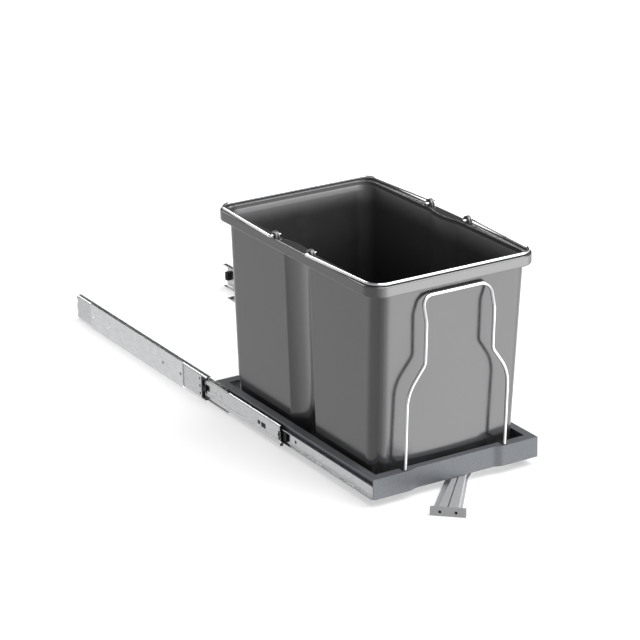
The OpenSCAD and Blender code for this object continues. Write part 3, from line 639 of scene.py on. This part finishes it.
def make_bin():
    """The bin as one skin: up the outside, over the rim and down the inside."""
    foot = [body_ring(BIN_Z + FOOT_R * (1 - s), FOOT_R * (1 - c)) for s, c in quarter(6)]
    rings = [body_ring(BIN_Z, FOOT_R + BASE_RUN)] + foot[::-1]
    wall = SKIRT_Z - BIN_Z - FOOT_R
    heights = [BIN_Z + FOOT_R + wall * i / WALL_STEPS for i in range(1, WALL_STEPS)]
    rings += [body_ring(z, 0) for z in heights]
    rings += [body_ring(SKIRT_Z + rise, inward) for rise, inward in UNDER_SKIRT]

    rings += [rim_ring(SKIRT_Z + RIM_LOW_R * (1 - c), RIM_LOW_R * (1 - s)) for s, c in quarter(5)]
    rings += [rim_ring(SKIRT_Z + RIM_LOW_R + EDGE_RUN, 0)]
    rings += [rim_ring(RIM_Z - RIM_TOP_R - EDGE_RUN, 0)]
    rings += [rim_ring(RIM_Z - RIM_TOP_R * (1 - s), RIM_TOP_R * (1 - c)) for s, c in quarter(6)]
    rings += [rim_ring(RIM_Z, RIM_TOP_R + EDGE_RUN)]

    rings += [ledge_ring(RIM_Z, -EDGE_RUN)]
    rings += [ledge_ring(RIM_Z - LIP_R * (1 - c), LIP_R * s) for s, c in quarter(5)]
    rings += [ledge_ring(RIM_Z - drop, inward) for drop, inward in INNER_STEP]

    rings += [body_ring(z, BIN_WALL) for z in reversed(heights[:-1])]
    floor_z = BIN_Z + BIN_WALL
    rings += [
        body_ring(floor_z + FLOOR_R * (1 - s), BIN_WALL + FLOOR_R * (1 - c))
        for s, c in quarter(6)
    ]
    piece = new_object("bin_shell", loft("bin_shell", rings), "bin_plastic")
    return finish_piece(piece, "bin_body", "bin_plastic", "bin")


make_bin()


# Wires and clips


def make_hoop():
    """Pull hoop: legs, shoulders and neck in one leaning plane, the top in another."""
    low = (FRAME_TOP - HOOP_FOOT_Z) / math.cos(HOOP_LEAN)
    middle = SHOULDER_H / math.cos(HOOP_LEAN)
    neck_top = (HOOP_BEND_Z - FRAME_TOP) / math.cos(HOOP_LEAN)
    sine, cosine = math.sin(SHOULDER_ANGLE), math.cos(SHOULDER_ANGLE)
    bends = LEG_BEND_R + NECK_BEND_R
    run = (LEG_HALF - NECK_HALF - bends * (1 - cosine)) / sine
    rise = bends * sine + run * cosine
    start = middle - rise / 2
    side = [(LEG_HALF, -low), (LEG_HALF, -low / 2), (LEG_HALF, 0), (LEG_HALF, start / 2)]
    side += arc((LEG_HALF - LEG_BEND_R, start), LEG_BEND_R, 0, SHOULDER_ANGLE, steps=24)
    side += arc(
        (NECK_HALF + NECK_BEND_R, start + rise), NECK_BEND_R, math.pi + SHOULDER_ANGLE, math.pi
    )
    side += [(NECK_HALF, (start + rise + neck_top) / 2)]
    bend_y = HOOP_Y - neck_top * math.sin(HOOP_LEAN)
    bar_y = RIM_Y0 + wall_inset(HOOP_TOP_Z, FRONT_IN, FRONT_LOW) - HOOP_GAP - WIRE_R
    top_rise, top_run = HOOP_TOP_Z - HOOP_BEND_Z, bar_y - bend_y
    top_len = math.hypot(top_rise, top_run)

    def lower(x, w):
        """Point in the leaning plane, w above the frame's top along it."""
        return place(x, HOOP_Y - w * math.sin(HOOP_LEAN), FRAME_TOP + w * math.cos(HOOP_LEAN))

    def upper(x, w):
        """Point in the top plane, w above its bend along it."""
        return place(x, bend_y + w * top_run / top_len, HOOP_BEND_Z + w * top_rise / top_len)

    top = arc(
        (NECK_HALF - HOOP_CORNER_R, top_len - HOOP_CORNER_R), HOOP_CORNER_R, 0, math.pi / 2
    )
    right = [lower(x, w) for x, w in side] + [upper(NECK_HALF, 0)]
    kink = len(right) - 1
    right += [upper(x, w) for x, w in top]
    right = soften_corner(right, kink, HOOP_KINK * MM)
    left = [Vector((-p.x, p.y, p.z)) for p in reversed(right)]
    wire = tube("pull_wire", right + left, WIRE_R * MM)
    piece = new_object("pull_wire", wire, "chrome_wire")
    return finish_piece(piece, "carriage", "chrome_wire", "pull_hoop")


def make_bail(name, clip_y, end_y, body, node):
    """Wire bail: ends turned in through two clips, splayed arms, far end on the rim."""
    out = 1 if end_y > clip_y else -1
    reach = abs(end_y - clip_y)
    tilt = math.asin((HINGE_H - REST_GAP - BAIL_R) / reach)
    corner_x = RIM_HALF - BAIL_IN - BAIL_CORNER
    corner_y = reach - BAIL_CORNER
    arm = (corner_y + BAIL_CORNER * math.sin(BAIL_SPLAY)) / math.cos(BAIL_SPLAY)
    start_x = corner_x + BAIL_CORNER * math.cos(BAIL_SPLAY)

    def on_arm(share):
        """Point on a splayed arm, from its corner (0) to its clip (1)."""
        return (
            start_x + arm * share * math.sin(BAIL_SPLAY),
            corner_y + BAIL_CORNER * math.sin(BAIL_SPLAY) - arm * share * math.cos(BAIL_SPLAY),
        )

    flat = [(PIN_END_X, 0), on_arm(1), on_arm(0.66), on_arm(0.33)]
    flat += arc((corner_x, corner_y), BAIL_CORNER, BAIL_SPLAY, math.pi / 2, steps=20)
    right = [
        place(x, clip_y + out * w * math.cos(tilt), RIM_Z + HINGE_H - w * math.sin(tilt))
        for x, w in flat
    ]
    right = soften_corner(right, 1, BAIL_KINK * MM)
    left = [Vector((-p.x, p.y, p.z)) for p in reversed(right)]
    piece = new_object(name, tube(name, right + left, BAIL_R * MM), "chrome_wire")
    return finish_piece(piece, body, "chrome_wire", node)


make_hoop()
front_clip_y = CLIP_MIDDLE - CLIP_GAP / 2
rear_clip_y = CLIP_MIDDLE + CLIP_GAP / 2
make_bail("front_wire", front_clip_y, RIM_Y0 + BAIL_END_IN, "front_handle", "front_bail")
make_bail("rear_wire", rear_clip_y, RIM_Y1 - BAIL_END_IN, "rear_handle", "rear_bail")
for side in ("left", "right"):
    for end in ("front", "rear"):
        dress(f"{end}_{side}_clip", "bin_body", "clip_plastic", 0.3, 3)


# Stage, light and camera

FLOOR_HALF = 9.0
FLOOR_DROP = 0.2


def make_stage():
    """Plain pale floor, which the glossy parts don't mirror."""
    mesh = bpy.data.meshes.new("floor")
    corners = [(-1, -1), (1, -1), (1, 1), (-1, 1)]
    mesh.from_pydata([(x * FLOOR_HALF, y * FLOOR_HALF, 0) for x, y in corners], [], [(0, 1, 2, 3)])
    mesh.materials.append(make_floor())
    floor = bpy.data.objects.new("floor", mesh)
    floor.location.z = -FLOOR_DROP * MM
    floor.visible_glossy = False
    bpy.context.scene.collection.objects.link(floor)


# Brightness of the studio by angle from +X in degrees, below and above the horizon
LOW_WALLS = [
    (-180, 0.48), (-145, 0.42), (-120, 0.6), (-98, 1.1), (-72, 2.15), (-55, 2.4), (-30, 2.35),
    (10, 1.2), (60, 1.0), (110, 0.85), (130, 0.75), (165, 0.5), (180, 0.48),
]
HIGH_WALLS = [
    (-180, 0.3), (-100, 0.7), (-50, 0.95), (-10, 0.55), (30, 0.12), (100, 0.12), (130, 0.25),
    (180, 0.3),
]
PEAK = 2.6
HORIZON = 0.12
# Small bright windows: direction, cosines of their outer and inner edge, and added brightness
WINDOWS = [
    ((0.04, 0.81, 0.585), 0.97, 0.985, 5.0),
    ((-0.476, 0.807, 0.35), 0.98, 0.996, 1.2),
]


def make_world():
    """Studio surroundings: soft bright and dark walls that the glossy parts mirror."""
    world = bpy.data.worlds.new("studio")
    world.use_nodes = True
    nodes, links = world.node_tree.nodes, world.node_tree.links
    view = nodes.new("ShaderNodeTexCoord").outputs["Generated"]
    split = nodes.new("ShaderNodeSeparateXYZ")
    links.new(view, split.inputs["Vector"])
    turn = nodes.new("ShaderNodeMath")
    turn.operation = "ARCTAN2"
    links.new(split.outputs["Y"], turn.inputs[0])
    links.new(split.outputs["X"], turn.inputs[1])
    share = nodes.new("ShaderNodeMapRange")
    share.inputs["From Min"].default_value = -math.pi
    share.inputs["From Max"].default_value = math.pi
    links.new(turn.outputs["Value"], share.inputs["Value"])

    def smooth(value, start, end, top=1.0):
        """Rises smoothly from 0 to top while the value goes from start to end."""
        node = nodes.new("ShaderNodeMapRange")
        node.interpolation_type = "SMOOTHSTEP"
        node.inputs["From Min"].default_value = start
        node.inputs["From Max"].default_value = end
        node.inputs["To Max"].default_value = top
        links.new(value, node.inputs["Value"])
        return node.outputs["Result"]

    def walls(stops):
        """Brightness all round, from its stops."""
        ramp = nodes.new("ShaderNodeValToRGB")
        ramp.color_ramp.interpolation = "EASE"
        elements = ramp.color_ramp.elements
        while len(elements) < len(stops):
            elements.new(0.5)
        for element, (angle, level) in zip(elements, stops):
            element.position = angle / 360 + 0.5
            element.color = (*[level / PEAK] * 3, 1.0)
        links.new(share.outputs["Result"], ramp.inputs["Fac"])
        return ramp.outputs["Color"]

    mix = nodes.new("ShaderNodeMix")
    mix.data_type = "RGBA"
    links.new(smooth(split.outputs["Z"], -HORIZON, HORIZON), mix.inputs["Factor"])
    links.new(walls(LOW_WALLS), mix.inputs["A"])
    links.new(walls(HIGH_WALLS), mix.inputs["B"])
    color = mix.outputs["Result"]
    for direction, outer, inner, level in WINDOWS:
        toward = nodes.new("ShaderNodeVectorMath")
        toward.operation = "DOT_PRODUCT"
        toward.inputs[1].default_value = Vector(direction).normalized()
        links.new(view, toward.inputs[0])
        total = nodes.new("ShaderNodeVectorMath")
        links.new(color, total.inputs[0])
        links.new(smooth(toward.outputs["Value"], outer, inner, level / PEAK), total.inputs[1])
        color = total.outputs["Vector"]
    background = nodes["Background"]
    links.new(color, background.inputs["Color"])
    background.inputs["Strength"].default_value = PEAK
    bpy.context.scene.world = world


SUN_FROM = Vector((0.38, -0.38, 1.0))


def make_sun():
    """Wide soft light from above."""
    data = bpy.data.lights.new("overhead", "SUN")
    data.energy = 3.2
    data.angle = math.radians(68)
    lamp = bpy.data.objects.new("overhead", data)
    lamp.rotation_euler = SUN_FROM.to_track_quat("Z", "Y").to_euler()
    bpy.context.scene.collection.objects.link(lamp)


# Place of the photograph's camera in metres and its three axes, solved from the frame's corners
CAMERA_AT = Vector((-1.68709, -2.87799, 1.35268))
CAMERA_RIGHT = Vector((0.8575492, -0.5139911, -0.0205560))
CAMERA_UP = Vector((0.1962360, 0.2899408, 0.9367101))
CAMERA_BACK = Vector((-0.4755007, -0.8073088, 0.3495021))


def make_camera():
    """Camera at the photograph's place."""
    data = bpy.data.cameras.new("camera")
    data.sensor_fit = "HORIZONTAL"
    data.sensor_width = 36.0
    data.lens = 144.71
    data.shift_x = 0.01483
    data.shift_y = 0.00391
    data.clip_end = 50.0
    camera = bpy.data.objects.new("camera", data)
    axes = Matrix((CAMERA_RIGHT, CAMERA_UP, CAMERA_BACK)).transposed().to_4x4()
    camera.matrix_world = Matrix.Translation(CAMERA_AT) @ axes
    bpy.context.scene.collection.objects.link(camera)
    bpy.context.scene.camera = camera


make_stage()
make_world()
make_sun()
make_camera()
bpy.context.scene.view_settings.view_transform = "Standard"
